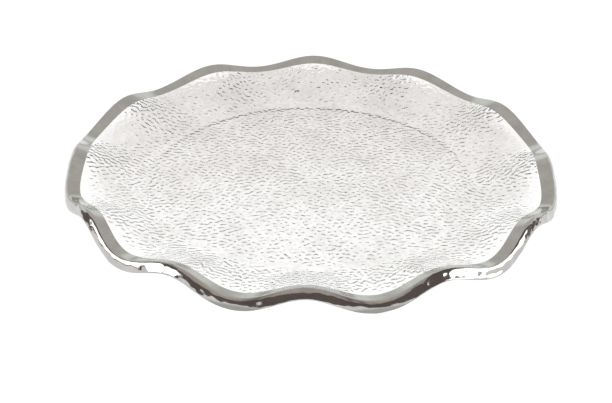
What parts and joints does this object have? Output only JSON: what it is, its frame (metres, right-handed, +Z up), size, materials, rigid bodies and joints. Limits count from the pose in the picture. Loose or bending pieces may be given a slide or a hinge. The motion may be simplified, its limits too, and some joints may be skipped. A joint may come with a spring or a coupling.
{
  "type": "cake plate",
  "caption": "Round ruffled clear glass cake plate with a flat well, a shallow waved flare and a platinum-coated rim.",
  "frame": {"origin": "centre of the flat underside that the plate rests on", "axes": "+Z up out of the dish; a ruffle's crest lies on +X, and the twelve ruffles repeat every 30 degrees"},
  "size_m": [0.2256, 0.2256, 0.0171],
  "materials": {
    "clear_glass": "clear slumped glass, smooth on top and hammered underneath",
    "platinum": "fired platinum film, finely brushed on top of the rim and mirror bright over the chipped outer edge"
  },
  "bodies": {
    "root": {"glass_plate": "clear_glass", "platinum_rim": "platinum"}
  },
  "joints": []
}
